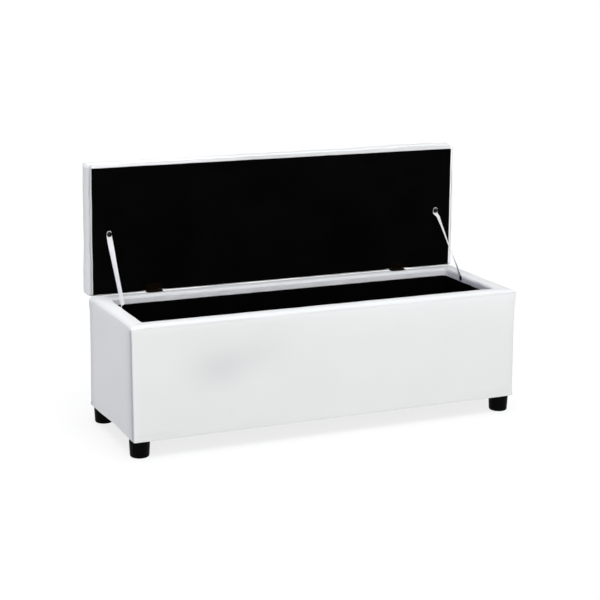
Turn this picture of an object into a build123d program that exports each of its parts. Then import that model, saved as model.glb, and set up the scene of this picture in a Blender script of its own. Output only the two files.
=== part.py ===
from build123d import *
import os
from math import hypot

# Upholstered storage bench: a padded box on four feet with a padded lid on two butt hinges,
# held open by two webbing straps. Millimetres. +X is to the right, +Y to the back, +Z up.
# The origin is on the floor, in the middle of the space the bench takes with its lid open.

os.makedirs("parts", exist_ok=True)

# ---- driving dimensions ------------------------------------------------------------------
width = 1200.0
depth = 390.0
foot_height = 46.0
rim_top = 373.0
rim_width = 48.0
lid_thickness = 50.0

cover_t = 1.0
side_foam_t = 8.0
rim_foam_t = 6.0
board_t = 15.0
rail_height = 45.0
lining_t = 2.0
dust_cover_t = 0.8
inner_band = 20.5
under_wrap = 25.0
body_corner_r = 6.0

foot_top_r = 29.0
foot_bottom_r = 27.0
foot_inset = 30.0
foot_edge_r = 3.0
stud_r = 4.0
stud_clear_r = 4.5
stud_bottom = 18.0
insert_r = 6.0
insert_length = 15.0

lid_foam_side = 5.0
lid_wrap = 32.0
lid_corner_r = 12.0
lid_under_r = 3.0
lid_lining_t = 0.8
lid_lining_side_inset = 10.5
lid_lining_front_inset = 13.0
lid_lining_rear_inset = 5.0

hinge_x = 403.0
hinge_length = 50.0
hinge_leaf_t = 1.5
hinge_leaf_reach = 21.0
knuckle_r = 2.5
centre_knuckle = 25.0
knuckle_gap = 0.3
pin_r = 1.5
pin_clearance = 0.1
pin_head_r = 2.2
pin_head_t = 0.8
pin_above_rim = 2.0
pin_from_back = 3.0
leaf_from_pin = 0.5
hinge_screw_spots = [(-17.0, 11.5), (0.0, 16.0), (17.0, 11.5)]

strap_width = 16.0
strap_t = 1.2
strap_wall_from_front = 240.0
strap_wall_z = 364.0
strap_lid_x = 538.0
strap_lid_z = 553.5
strap_tail = 8.0
strap_flat = 12.0
strap_spans = 6
washer_r = 7.5
washer_t = 1.0
strap_screw_r = 1.8
strap_screw_length = 18.0
strap_screw_head_r = 5.0
strap_screw_head_t = 2.6

# ---- positions worked out from them ------------------------------------------------------
half_width = width / 2
lid_plane_from_pin = pin_above_rim + lid_lining_t
front_y = -(depth - pin_from_back + lid_plane_from_pin + lid_thickness) / 2
rear_y = front_y + depth
pin_y = rear_y - pin_from_back
pin_z = rim_top + pin_above_rim

cover_bottom = foot_height + dust_cover_t
wood_bottom = cover_bottom + cover_t
wood_top = rim_top - cover_t - rim_foam_t
shell = cover_t + side_foam_t
rail_t = rim_width - shell - board_t - cover_t
floor_top = wood_bottom + board_t
band_bottom = rim_top - inner_band
open_x = half_width - rim_width
open_front = front_y + rim_width
open_back = rear_y - rim_width

lid_under_y = pin_y + lid_plane_from_pin
lid_lining_y = lid_under_y - lid_lining_t
lid_outer_y = lid_under_y + lid_thickness
lid_bottom = pin_z - pin_from_back
lid_top = lid_bottom + depth

foot_spots = [
    (side * (half_width - foot_inset), y)
    for side in (-1, 1)
    for y in (front_y + foot_inset, rear_y - foot_inset)
]


def block(x_range, y_range, z_range, mode=Mode.ADD):
    """Adds a box between these limits to the part being built."""
    centre = tuple((low + high) / 2 for low, high in (x_range, y_range, z_range))
    with Locations(centre):
        Box(
            x_range[1] - x_range[0],
            y_range[1] - y_range[0],
            z_range[1] - z_range[0],
            mode=mode,
        )


def rod(start, direction, radius, length, mode=Mode.ADD):
    """Adds a cylinder that starts at a point and runs along a direction."""
    with Locations(Plane(origin=start, z_dir=direction)):
        Cylinder(radius, length, align=(Align.CENTER, Align.CENTER, Align.MIN), mode=mode)


def countersunk(start, direction, head_r, shank_r, length, mode=Mode.ADD):
    """Adds a countersunk screw: flat head at the start, its shank along the direction."""
    head_t = head_r - shank_r
    with Locations(Plane(origin=start, z_dir=direction)):
        Cone(head_r, shank_r, head_t, align=(Align.CENTER, Align.CENTER, Align.MIN), mode=mode)
    rod(start, direction, shank_r, length, mode)


def save(piece, name):
    """Labels a finished piece and writes it."""
    piece.part.label = name
    export_step(piece.part, f"parts/{name}.step")


# ---- wooden box --------------------------------------------------------------------------
board_x = half_width - shell
inner_x = board_x - board_t
board_front = front_y + shell
board_back = rear_y - shell
inner_front = board_front + board_t
inner_back = board_back - board_t
rail_x = inner_x - rail_t
rail_front = inner_front + rail_t
rail_back = inner_back - rail_t
rail_bottom = wood_top - rail_height

for name, y_range in [
    ("front_board", (board_front, inner_front)),
    ("rear_board", (inner_back, board_back)),
]:
    with BuildPart() as long_board:
        block((-board_x, board_x), y_range, (wood_bottom, wood_top))
    save(long_board, name)

for name, x_range in [("left_board", (-board_x, -inner_x)), ("right_board", (inner_x, board_x))]:
    with BuildPart() as end_board:
        block(x_range, (inner_front, inner_back), (wood_bottom, wood_top))
    save(end_board, name)

for name, y_range in [
    ("front_rail", (inner_front, rail_front)),
    ("rear_rail", (rail_back, inner_back)),
]:
    with BuildPart() as long_rail:
        block((-inner_x, inner_x), y_range, (rail_bottom, wood_top))
    save(long_rail, name)

for name, x_range in [("left_rail", (-inner_x, -rail_x)), ("right_rail", (rail_x, inner_x))]:
    with BuildPart() as end_rail:
        block(x_range, (rail_front, rail_back), (rail_bottom, wood_top))
    save(end_rail, name)

# The floor is let in between the walls, with a clear hole over each foot.
with BuildPart() as floor_board:
    block((-inner_x, inner_x), (inner_front, inner_back), (wood_bottom, floor_top))
    for x, y in foot_spots:
        rod((x, y, wood_bottom), (0, 0, 1), stud_clear_r, board_t, Mode.SUBTRACT)
save(floor_board, "floor_board")

# Each corner post stands on the floor board and holds the threaded insert of its foot.
post_names = ["post_front_left", "post_rear_left", "post_front_right", "post_rear_right"]
for name, (x, y) in zip(post_names, foot_spots):
    x_range = (-inner_x, -rail_x) if x < 0 else (rail_x, inner_x)
    y_range = (inner_front, rail_front) if name.startswith("post_front") else (rail_back, inner_back)
    with BuildPart() as post:
        block(x_range, y_range, (floor_top, rail_bottom))
        rod((x, y, floor_top), (0, 0, 1), insert_r, insert_length, Mode.SUBTRACT)
        rod((x, y, floor_top), (0, 0, 1), stud_clear_r, insert_length + stud_r, Mode.SUBTRACT)
    save(post, name)

# Wood screws run through the long boards into the posts, rails and end boards.
frame_screw_length = 32.0
frame_screw_r = 1.75
frame_screw_head_r = 3.5
post_screw_heights = [110.0, 190.0, 270.0]
rail_screw_z = (rail_bottom + wood_top) / 2
rail_screw_count = 7
rail_screw_step = 170.0
with BuildPart() as frame_screws:
    screw = (frame_screw_head_r, frame_screw_r, frame_screw_length)
    for wall_y, inward in [(board_front, 1), (board_back, -1)]:
        for side in (-1, 1):
            for z in post_screw_heights:
                countersunk((side * (inner_x - rail_t / 2), wall_y, z), (0, inward, 0), *screw)
        for i in range(rail_screw_count):
            x = (i - (rail_screw_count - 1) / 2) * rail_screw_step
            countersunk((x, wall_y, rail_screw_z), (0, inward, 0), *screw)
save(frame_screws, "frame_screws")

# ---- feet --------------------------------------------------------------------------------
foot_names = ["foot_front_left", "foot_rear_left", "foot_front_right", "foot_rear_right"]
for name, (x, y) in zip(foot_names, foot_spots):
    with BuildPart() as foot:
        with BuildSketch(Plane.XZ.offset(-y)):
            with BuildLine():
                Polyline(
                    (x, 0),
                    (x + foot_bottom_r, 0),
                    (x + foot_top_r, foot_height),
                    (x, foot_height),
                    close=True,
                )
            make_face()
        revolve(axis=Axis((x, y, 0), (0, 0, 1)))
        bottom_edge = foot.faces().sort_by(Axis.Z)[0].edges()
        fillet(bottom_edge, foot_edge_r)
        rod((x, y, stud_bottom), (0, 0, 1), stud_r, foot_height - stud_bottom, Mode.SUBTRACT)
    save(foot, name)

with BuildPart() as foot_studs:
    for x, y in foot_spots:
        rod((x, y, stud_bottom), (0, 0, 1), stud_r, floor_top + insert_length - stud_bottom)
save(foot_studs, "foot_studs")

with BuildPart() as foot_inserts:
    for x, y in foot_spots:
        rod((x, y, floor_top), (0, 0, 1), insert_r, insert_length)
        rod((x, y, floor_top), (0, 0, 1), stud_r, insert_length, Mode.SUBTRACT)
save(foot_inserts, "foot_inserts")

# ---- box upholstery ----------------------------------------------------------------------
# The space just inside the cover, rounded like the cover, shapes both the cover and the foam.
with BuildPart() as inside_cover:
    block(
        (cover_t - half_width, half_width - cover_t),
        (front_y + cover_t, rear_y - cover_t),
        (wood_bottom, rim_top - cover_t),
    )
    fillet(inside_cover.edges().filter_by(Axis.Z), body_corner_r - cover_t)
    fillet(inside_cover.faces().sort_by(Axis.Z)[-1].edges(), body_corner_r - cover_t)

foam_top = (wood_top, rim_top - cover_t)
wall_height = (wood_bottom, rim_top - cover_t)
for name, face_y, rim_y in [
    ("front_foam", (front_y, board_front), (board_front, rail_front)),
    ("rear_foam", (board_back, rear_y), (rail_back, board_back)),
]:
    with BuildPart() as long_foam:
        block((-half_width, half_width), face_y, wall_height)
        block((-half_width, half_width), rim_y, foam_top)
        add(inside_cover.part, mode=Mode.INTERSECT)
    save(long_foam, name)

for name, side in [("left_foam", -1), ("right_foam", 1)]:
    face_x = sorted((side * board_x, side * half_width))
    rim_x = sorted((side * rail_x, side * half_width))
    with BuildPart() as end_foam:
        block(face_x, (board_front, board_back), (wood_bottom, wood_top))
        block(rim_x, (rail_front, rail_back), foam_top)
        add(inside_cover.part, mode=Mode.INTERSECT)
    save(end_foam, name)

# One skin: over the walls, over the rim, a band down the inside and a hem under the box.
with BuildPart() as body_cover:
    block((-half_width, half_width), (front_y, rear_y), (cover_bottom, rim_top))
    fillet(body_cover.edges().filter_by(Axis.Z), body_corner_r)
    fillet(body_cover.faces().sort_by(Axis.Z)[-1].edges(), body_corner_r)
    add(inside_cover.part, mode=Mode.SUBTRACT)
    block(
        (-open_x - cover_t, open_x + cover_t),
        (open_front - cover_t, open_back + cover_t),
        (band_bottom, rim_top),
    )
    block((-open_x, open_x), (open_front, open_back), (band_bottom, rim_top), Mode.SUBTRACT)
    block(
        (under_wrap - half_width, half_width - under_wrap),
        (front_y + under_wrap, rear_y - under_wrap),
        (cover_bottom, wood_bottom),
        Mode.SUBTRACT,
    )
save(body_cover, "body_cover")

# ---- black lining ------------------------------------------------------------------------
lining_floor_top = floor_top + lining_t
with BuildPart() as lining_floor:
    block((-rail_x, rail_x), (rail_front, rail_back), (floor_top, lining_floor_top))
save(lining_floor, "lining_floor")

for name, y_range in [
    ("lining_front", (rail_front, rail_front + lining_t)),
    ("lining_rear", (rail_back - lining_t, rail_back)),
]:
    with BuildPart() as long_lining:
        block((-rail_x, rail_x), y_range, (lining_floor_top, band_bottom))
    save(long_lining, name)

for name, side in [("lining_left", -1), ("lining_right", 1)]:
    x_range = sorted((side * (rail_x - lining_t), side * rail_x))
    y_range = (rail_front + lining_t, rail_back - lining_t)
    with BuildPart() as end_lining:
        block(x_range, y_range, (lining_floor_top, band_bottom))
    save(end_lining, name)

# ---- dust cover and its staples ----------------------------------------------------------
dust_inset = 12.0
staple_inset = 17.0
staple_width = 10.0
staple_wire = 0.8
staple_leg = 8.0
staples_long = 11
staples_end = 3
staple_step = 100.0
with BuildPart() as dust_cover:
    block(
        (dust_inset - half_width, half_width - dust_inset),
        (front_y + dust_inset, rear_y - dust_inset),
        (foot_height, cover_bottom),
    )
    for x, y in foot_spots:
        rod((x, y, foot_height), (0, 0, 1), stud_clear_r, dust_cover_t, Mode.SUBTRACT)
save(dust_cover, "dust_cover")


def staple(x, y, along_x):
    """Adds one staple whose crown lies on the dust cover and whose legs go up into the board."""
    half = staple_width / 2
    wire = staple_wire / 2
    crown_z = (foot_height - staple_wire, foot_height)
    leg_z = (foot_height - staple_wire, foot_height + staple_leg)
    if along_x:
        block((x - half, x + half), (y - wire, y + wire), crown_z)
        block((x - half, x - half + staple_wire), (y - wire, y + wire), leg_z)
        block((x + half - staple_wire, x + half), (y - wire, y + wire), leg_z)
    else:
        block((x - wire, x + wire), (y - half, y + half), crown_z)
        block((x - wire, x + wire), (y - half, y - half + staple_wire), leg_z)
        block((x - wire, x + wire), (y + half - staple_wire, y + half), leg_z)


with BuildPart() as dust_staples:
    for i in range(staples_long):
        for y in (front_y + staple_inset, rear_y - staple_inset):
            staple((i - (staples_long - 1) / 2) * staple_step, y, True)
    for i in range(staples_end):
        y = (front_y + rear_y) / 2 + (i - (staples_end - 1) / 2) * staple_step
        for side in (-1, 1):
            staple(side * (half_width - staple_inset), y, False)
save(dust_staples, "dust_staples")

# ---- lid, modelled open and upright ------------------------------------------------------
with BuildPart() as inside_lid_cover:
    block(
        (cover_t - half_width, half_width - cover_t),
        (lid_under_y + cover_t, lid_outer_y - cover_t),
        (lid_bottom + cover_t, lid_top - cover_t),
    )
    fillet(inside_lid_cover.edges().filter_by(Axis.Y), lid_corner_r - cover_t)
    fillet(inside_lid_cover.faces().sort_by(Axis.Y)[-1].edges(), lid_corner_r - cover_t)
    fillet(inside_lid_cover.faces().sort_by(Axis.Y)[0].edges(), lid_under_r - cover_t)

board_inset = cover_t + lid_foam_side
lid_board_limits = [
    (board_inset - half_width, half_width - board_inset),
    (lid_under_y + cover_t, lid_under_y + cover_t + board_t),
    (lid_bottom + board_inset, lid_top - board_inset),
]
with BuildPart() as lid_board:
    block(*lid_board_limits)
    fillet(lid_board.edges().filter_by(Axis.Y), lid_corner_r - board_inset)
save(lid_board, "lid_board")

with BuildPart() as lid_foam:
    add(inside_lid_cover.part)
    add(lid_board.part, mode=Mode.SUBTRACT)
save(lid_foam, "lid_foam")

with BuildPart() as lid_cover:
    block((-half_width, half_width), (lid_under_y, lid_outer_y), (lid_bottom, lid_top))
    fillet(lid_cover.edges().filter_by(Axis.Y), lid_corner_r)
    fillet(lid_cover.faces().sort_by(Axis.Y)[-1].edges(), lid_corner_r)
    fillet(lid_cover.faces().sort_by(Axis.Y)[0].edges(), lid_under_r)
    add(inside_lid_cover.part, mode=Mode.SUBTRACT)
    block(
        (lid_wrap - half_width, half_width - lid_wrap),
        (lid_under_y, lid_under_y + cover_t),
        (lid_bottom + lid_wrap, lid_top - lid_wrap),
        Mode.SUBTRACT,
    )
save(lid_cover, "lid_cover")

with BuildPart() as lid_lining:
    block(
        (lid_lining_side_inset - half_width, half_width - lid_lining_side_inset),
        (lid_lining_y, lid_under_y),
        (lid_bottom + lid_lining_rear_inset, lid_top - lid_lining_front_inset),
    )
save(lid_lining, "lid_lining")

# ---- hinges ------------------------------------------------------------------------------
# Each leaf reaches from the pin, the body leaf forwards on the rim and the lid leaf up the
# lid's underside. The body leaf has the two outer knuckles and the lid leaf the middle one.
hinge_screw_head_r = 3.0
hinge_screw_shank_r = 1.5
hinge_screw_length = 16.0
half_hinge = hinge_length / 2
outer_knuckle = half_hinge - centre_knuckle / 2 - knuckle_gap
notch_r = knuckle_r + knuckle_gap
leaf_faces = (leaf_from_pin, leaf_from_pin + hinge_leaf_t)

for side_name, side in [("left", -1), ("right", 1)]:
    x0 = side * hinge_x
    outer_starts = [x0 - half_hinge, x0 + half_hinge - outer_knuckle]
    centre_start = x0 - centre_knuckle / 2

    with BuildPart() as body_leaf:
        block(
            (x0 - half_hinge, x0 + half_hinge),
            (pin_y - hinge_leaf_reach, pin_y),
            (pin_z - leaf_faces[1], pin_z - leaf_faces[0]),
        )
        block(
            (centre_start - knuckle_gap, centre_start + centre_knuckle + knuckle_gap),
            (pin_y - notch_r, pin_y),
            (pin_z - knuckle_r, pin_z),
            Mode.SUBTRACT,
        )
        for start in outer_starts:
            rod((start, pin_y, pin_z), (1, 0, 0), knuckle_r, outer_knuckle)
            rod((start, pin_y, pin_z), (1, 0, 0), pin_r, outer_knuckle, Mode.SUBTRACT)
        for dx, reach in hinge_screw_spots:
            countersunk(
                (x0 + dx, pin_y - reach, pin_z - leaf_faces[0]),
                (0, 0, -1),
                hinge_screw_head_r,
                hinge_screw_shank_r,
                hinge_screw_length,
                Mode.SUBTRACT,
            )
    save(body_leaf, f"hinge_body_leaf_{side_name}")

    with BuildPart() as lid_leaf:
        block(
            (x0 - half_hinge, x0 + half_hinge),
            (pin_y + leaf_faces[0], pin_y + leaf_faces[1]),
            (pin_z, pin_z + hinge_leaf_reach),
        )
        for start in outer_starts:
            block(
                (start - knuckle_gap, start + outer_knuckle + knuckle_gap),
                (pin_y, pin_y + knuckle_r),
                (pin_z, pin_z + notch_r),
                Mode.SUBTRACT,
            )
        rod((centre_start, pin_y, pin_z), (1, 0, 0), knuckle_r, centre_knuckle)
        rod(
            (centre_start, pin_y, pin_z),
            (1, 0, 0),
            pin_r + pin_clearance,
            centre_knuckle,
            Mode.SUBTRACT,
        )
        for dx, reach in hinge_screw_spots:
            countersunk(
                (x0 + dx, pin_y + leaf_faces[0], pin_z + reach),
                (0, 1, 0),
                hinge_screw_head_r,
                hinge_screw_shank_r,
                hinge_screw_length,
                Mode.SUBTRACT,
            )
    save(lid_leaf, f"hinge_lid_leaf_{side_name}")

    with BuildPart() as hinge_pin:
        rod((x0 - half_hinge, pin_y, pin_z), (1, 0, 0), pin_r, hinge_length)
        for start in (x0 - half_hinge - pin_head_t, x0 + half_hinge):
            rod((start, pin_y, pin_z), (1, 0, 0), pin_head_r, pin_head_t)
    save(hinge_pin, f"hinge_pin_{side_name}")

hinge_screw = (hinge_screw_head_r, hinge_screw_shank_r, hinge_screw_length)
with BuildPart() as hinge_body_screws:
    for x0 in (-hinge_x, hinge_x):
        for dx, reach in hinge_screw_spots:
            head = (x0 + dx, pin_y - reach, pin_z - leaf_faces[0])
            countersunk(head, (0, 0, -1), *hinge_screw)
save(hinge_body_screws, "hinge_body_screws")

with BuildPart() as hinge_lid_screws:
    for x0 in (-hinge_x, hinge_x):
        for dx, reach in hinge_screw_spots:
            head = (x0 + dx, pin_y + leaf_faces[0], pin_z + reach)
            countersunk(head, (0, 1, 0), *hinge_screw)
save(hinge_lid_screws, "hinge_lid_screws")

# ---- straps that hold the lid open -------------------------------------------------------
# A strap is screwed flat to the inside of the end wall and flat to the lid's underside, so
# it turns a quarter turn on its way. It is a ruled solid through sections along its length.
strap_wall_y = front_y + strap_wall_from_front
strap_rise = strap_lid_z - strap_wall_z
strap_run = lid_lining_y - strap_wall_y
strap_span = hypot(strap_run, strap_rise)
run_share = strap_run / strap_span
rise_share = strap_rise / strap_span
strap_along = Vector(0, run_share, rise_share)
wall_across = Vector(0, rise_share, -run_share)
strap_hole_depth = 3 * strap_t

for name, side in [("strap_left", -1), ("strap_right", 1)]:
    wall_point = (side * (open_x - strap_t / 2), strap_wall_y, strap_wall_z)
    lid_point = (side * strap_lid_x, lid_lining_y - strap_t / 2, strap_lid_z)
    lid_across = Vector(side, 0, 0)
    wall_plane = Plane(origin=wall_point, x_dir=wall_across, z_dir=strap_along)
    lid_plane = Plane(origin=lid_point, x_dir=lid_across, z_dir=(0, 0, 1))
    free_start = wall_plane.offset(strap_flat)
    free_end = lid_plane.offset(-strap_flat)
    sections = [wall_plane.offset(-strap_tail), free_start]
    for i in range(1, strap_spans):
        share = i / strap_spans
        sections.append(
            Plane(
                origin=free_start.origin * (1 - share) + free_end.origin * share,
                x_dir=wall_across * (1 - share) + lid_across * share,
                z_dir=strap_along,
            )
        )
    sections += [free_end, lid_plane.offset(strap_tail)]
    with BuildPart() as strap:
        for section in sections:
            with BuildSketch(section):
                Rectangle(strap_width, strap_t)
        loft(ruled=True)
        hole_start = (side * (open_x + strap_t), strap_wall_y, strap_wall_z)
        rod(hole_start, (-side, 0, 0), strap_screw_r, strap_hole_depth, Mode.SUBTRACT)
        hole_start = (side * strap_lid_x, lid_lining_y + strap_t, strap_lid_z)
        rod(hole_start, (0, -1, 0), strap_screw_r, strap_hole_depth, Mode.SUBTRACT)
    save(strap, name)


def washer(point, direction):
    """Adds a strap washer that lies on a strap at a point and faces along a direction."""
    rod(point, direction, washer_r, washer_t)
    rod(point, direction, strap_screw_r, washer_t, Mode.SUBTRACT)


def pan_screw(point, direction):
    """Adds a strap screw whose pan head sits on a washer; its shank runs backwards."""
    away = Vector(*direction)
    seat = Vector(*point) + away * washer_t
    rod(seat, away, strap_screw_head_r, strap_screw_head_t)
    rod(seat, away * -1, strap_screw_r, strap_screw_length)


wall_faces = [((side * (open_x - strap_t), strap_wall_y, strap_wall_z), (-side, 0, 0)) for side in (-1, 1)]
lid_faces = [((side * strap_lid_x, lid_lining_y - strap_t, strap_lid_z), (0, -1, 0)) for side in (-1, 1)]

for place, faces_here in [("wall", wall_faces), ("lid", lid_faces)]:
    with BuildPart() as strap_washers:
        for point, direction in faces_here:
            washer(point, direction)
    save(strap_washers, f"strap_{place}_washers")
    with BuildPart() as strap_screws:
        for point, direction in faces_here:
            pan_screw(point, direction)
    save(strap_screws, f"strap_{place}_screws")
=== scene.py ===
"""Looks of the storage bench: upholstery, linings, straps, fittings, studio light and camera.

Metres, in the part's own frame: +X to the right, +Y to the back, +Z up, floor at z = 0.
The covers are swelled by cloth simulation. Their seams, folds and small departures from a plain box
are displacement. Where the photograph's shading differs from what the studio's lights give, two
point attributes paint the difference into the leather's colour: one darkens it as painted shade,
the other lightens it as painted light. The painted shade also darkens the seams, puckers, mitres,
folds and tucks.
"""

import math
from types import SimpleNamespace

import bpy
import numpy as np
from mathutils import Matrix, Vector


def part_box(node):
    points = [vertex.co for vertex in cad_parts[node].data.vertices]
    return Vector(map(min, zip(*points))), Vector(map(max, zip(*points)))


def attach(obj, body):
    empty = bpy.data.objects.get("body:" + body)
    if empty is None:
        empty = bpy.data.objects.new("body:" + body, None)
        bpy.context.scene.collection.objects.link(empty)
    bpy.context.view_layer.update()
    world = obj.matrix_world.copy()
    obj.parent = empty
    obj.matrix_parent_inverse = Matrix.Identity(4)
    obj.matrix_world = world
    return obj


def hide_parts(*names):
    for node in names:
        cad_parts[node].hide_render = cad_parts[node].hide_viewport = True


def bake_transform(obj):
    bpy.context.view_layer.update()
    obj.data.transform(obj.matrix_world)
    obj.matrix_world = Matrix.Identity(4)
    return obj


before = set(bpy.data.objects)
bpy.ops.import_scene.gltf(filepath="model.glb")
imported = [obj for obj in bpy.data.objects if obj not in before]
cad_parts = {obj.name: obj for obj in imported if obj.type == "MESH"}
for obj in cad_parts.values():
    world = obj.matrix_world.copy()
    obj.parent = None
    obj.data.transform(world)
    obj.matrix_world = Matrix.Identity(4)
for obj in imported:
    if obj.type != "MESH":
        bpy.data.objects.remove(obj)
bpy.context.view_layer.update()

MM = 0.001

# ---- sizes taken from the frame ----
body_low, body_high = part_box("body_cover")
lid_low, lid_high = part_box("lid_cover")
lid_lining_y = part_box("lid_lining")[0].y
leaf_low, leaf_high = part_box("hinge_body_leaf_right")
pin_low, pin_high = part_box("hinge_pin_right")
body_middle_y = (body_low.y + body_high.y) / 2
body_half_y = (body_high.y - body_low.y) / 2
lid_middle_z = (lid_low.z + lid_high.z) / 2
lid_half_z = (lid_high.z - lid_low.z) / 2
pin_y = (pin_low.y + pin_high.y) / 2
pin_z = (pin_low.z + pin_high.z) / 2
hinge_x = (leaf_low.x + leaf_high.x) / 2

# ---- sizes of the upholstery ----
rim_width = 48 * MM
inner_band = 20.5 * MM
under_wrap = 25 * MM
cloth_t = 0.8 * MM
hem = 9 * MM
bottom_edge_r = 4 * MM
rim_outer_r = 6 * MM
rim_inner_r = 7 * MM
body_corner_r = 4.5 * MM
opening_corner_r = 13 * MM
rim_crown = 2.4 * MM
hollow_depth = 2.6 * MM
seam_from_corner = 2 * MM
seam_depth = 1.1 * MM
pucker_height = 0.25 * MM
pucker_spacing = 9 * MM
mitre_depth = 0.7 * MM
lid_plan_r = 9 * MM
lid_seat_r = 8 * MM
lid_under_r = 3 * MM
lid_border = 12.5 * MM
lid_fold_depth = 1.1 * MM
gather_spacing = 23 * MM
gather_height = 0.5 * MM
tuck_depth = 0.5 * MM


# ---- numbers and meshes ----
def ramp(value, low, high):
    """0 below low, 1 above high, and a smooth rise between them."""
    t = np.clip((value - low) / (high - low), 0, 1)
    return t * t * (3 - 2 * t)


def hump(distance, width):
    """1 at distance 0, falling smoothly to nothing a few widths away."""
    return np.exp(-((distance / width) ** 2))


def ripples(points, wavelength, seed, waves=10):
    """A smooth random field over points, mostly between -1 and 1."""
    random = np.random.default_rng(seed)
    directions = random.normal(size=(waves, 3))
    directions /= np.linalg.norm(directions, axis=1)[:, None]
    lengths = wavelength * random.uniform(0.7, 1.5, waves)
    phases = random.uniform(0, 2 * math.pi, waves)
    angles = 2 * math.pi * points @ (directions / lengths[:, None]).T + phases
    return np.sin(angles).sum(axis=1) / math.sqrt(waves)


def graded(length, step, fine):
    """Stations from 0 to length: fine distances from both ends, then about a step apart."""
    fine = [d for d in fine if d < length / 2 - step / 2]
    middle = np.linspace(fine[-1], length - fine[-1], round((length - 2 * fine[-1]) / step) + 1)
    return np.concatenate([fine[:-1], middle, [length - d for d in reversed(fine[:-1])]])


def make_mesh(name, vertices, faces, finish):
    """A smooth-shaded mesh piece with one material and its normals outwards."""
    mesh = bpy.data.meshes.new(name)
    mesh.from_pydata([tuple(v) for v in vertices], [], [tuple(f) for f in faces])
    mesh.update()
    mesh.polygons.foreach_set("use_smooth", [True] * len(mesh.polygons))
    mesh.materials.append(finish)
    piece = bpy.data.objects.new(name, mesh)
    bpy.context.scene.collection.objects.link(piece)
    return piece


def get_points(mesh):
    """The mesh's points as an array."""
    points = np.empty(len(mesh.vertices) * 3, np.float32)
    mesh.vertices.foreach_get("co", points)
    return points.reshape(-1, 3).astype(float)


def get_normals(mesh):
    """The mesh's point normals as an array."""
    normals = np.empty(len(mesh.vertices) * 3, np.float32)
    mesh.vertex_normals.foreach_get("vector", normals)
    return normals.reshape(-1, 3).astype(float)


def set_points(mesh, points):
    """Moves the mesh's points."""
    mesh.vertices.foreach_set("co", points.astype(np.float32).ravel())
    mesh.update()


def subdivide(piece):
    """One round of smooth subdivision, kept in the mesh."""
    piece.modifiers.new("finer", "SUBSURF").levels = 1
    graph = bpy.context.evaluated_depsgraph_get()
    shown = bpy.data.meshes.new_from_object(piece.evaluated_get(graph))
    piece.modifiers.clear()
    piece.data = shown


def grid_faces(rows, columns, closed):
    """Quads of a grid of points, row by row; closed joins the last column to the first."""
    last = columns if closed else columns - 1
    faces = []
    for row in range(rows - 1):
        for column in range(last):
            after = (column + 1) % columns
            low, high = row * columns, (row + 1) * columns
            faces.append((low + column, low + after, high + after, high + column))
    return faces


def inflate(piece, held, cap):
    """Swells a cover by cloth simulation, at most to about the cap. Held points stay, and
    padding_tie holds the rest a little, as the padding under the cover does."""
    pressure, frames, padding_tie = 4.0, 20, 0.15
    start = get_points(piece.data)
    cap = np.broadcast_to(cap, len(start))
    group = piece.vertex_groups.new(name="held")
    group.add(np.flatnonzero(held).tolist(), 1.0, "REPLACE")
    group.add(np.flatnonzero(~held).tolist(), padding_tie, "REPLACE")
    cloth = piece.modifiers.new("cloth", "CLOTH")
    settings = cloth.settings
    settings.vertex_group_mass = "held"
    settings.use_pressure = True
    settings.uniform_pressure_force = pressure
    settings.effector_weights.gravity = 0
    settings.tension_stiffness = settings.compression_stiffness = 20
    settings.tension_damping = settings.compression_damping = 25
    settings.bending_stiffness = 2
    settings.air_damping = 10
    cloth.point_cache.frame_start = 1
    cloth.point_cache.frame_end = frames
    for step in range(1, frames + 1):
        bpy.context.scene.frame_set(step)
    graph = bpy.context.evaluated_depsgraph_get()
    moved = get_points(piece.evaluated_get(graph).data) - start
    piece.modifiers.remove(cloth)
    piece.vertex_groups.clear()
    bpy.context.scene.frame_set(1)
    far = np.maximum(np.linalg.norm(moved, axis=1), 1e-9)
    set_points(piece.data, start + moved * (cap * np.tanh(far / cap) / far)[:, None])


# ---- materials ----
def add_node(tree, kind, inputs=None, **settings):
    """A node with its settings, and its inputs set to values or linked to other outputs."""
    node = tree.nodes.new(kind)
    for name, value in settings.items():
        setattr(node, name, value)
    for name, value in (inputs or {}).items():
        if isinstance(value, bpy.types.NodeSocket):
            tree.links.new(value, node.inputs[name])
        else:
            node.inputs[name].default_value = value
    return node


def start_material(name, **shader_values):
    """A material with a Principled shader: (material, tree, shader, object coordinates)."""
    material = bpy.data.materials.new(name)
    material.use_nodes = True
    tree = material.node_tree
    shader = tree.nodes["Principled BSDF"]
    for key, value in shader_values.items():
        shader.inputs[key.replace("_", " ")].default_value = value
    place = tree.nodes.new("ShaderNodeTexCoord").outputs["Object"]
    return material, tree, shader, place


def connect(tree, shader, **outputs):
    """Links outputs to the shader's inputs of the same names."""
    for name, output in outputs.items():
        tree.links.new(output, shader.inputs[name.replace("_", " ")])


def noise_field(tree, place, scale, detail=2.0, roughness=0.5):
    """A noise texture's value at a place."""
    inputs = {"Vector": place, "Scale": scale, "Detail": detail, "Roughness": roughness}
    return add_node(tree, "ShaderNodeTexNoise", inputs).outputs["Fac"]


def stretched(tree, place, scale):
    """Coordinates scaled by a different amount along each axis."""
    return add_node(tree, "ShaderNodeMapping", {"Vector": place, "Scale": scale}).outputs["Vector"]


def arithmetic(tree, operation, first, second):
    """One sum on two values."""
    return add_node(tree, "ShaderNodeMath", {0: first, 1: second}, operation=operation).outputs[0]


def remap(tree, value, low, high, new_low=0.0, new_high=1.0):
    """A value's range changed to another, clamped."""
    inputs = {"Value": value, "From Min": low, "From Max": high}
    inputs |= {"To Min": new_low, "To Max": new_high}
    return add_node(tree, "ShaderNodeMapRange", inputs).outputs["Result"]


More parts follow.
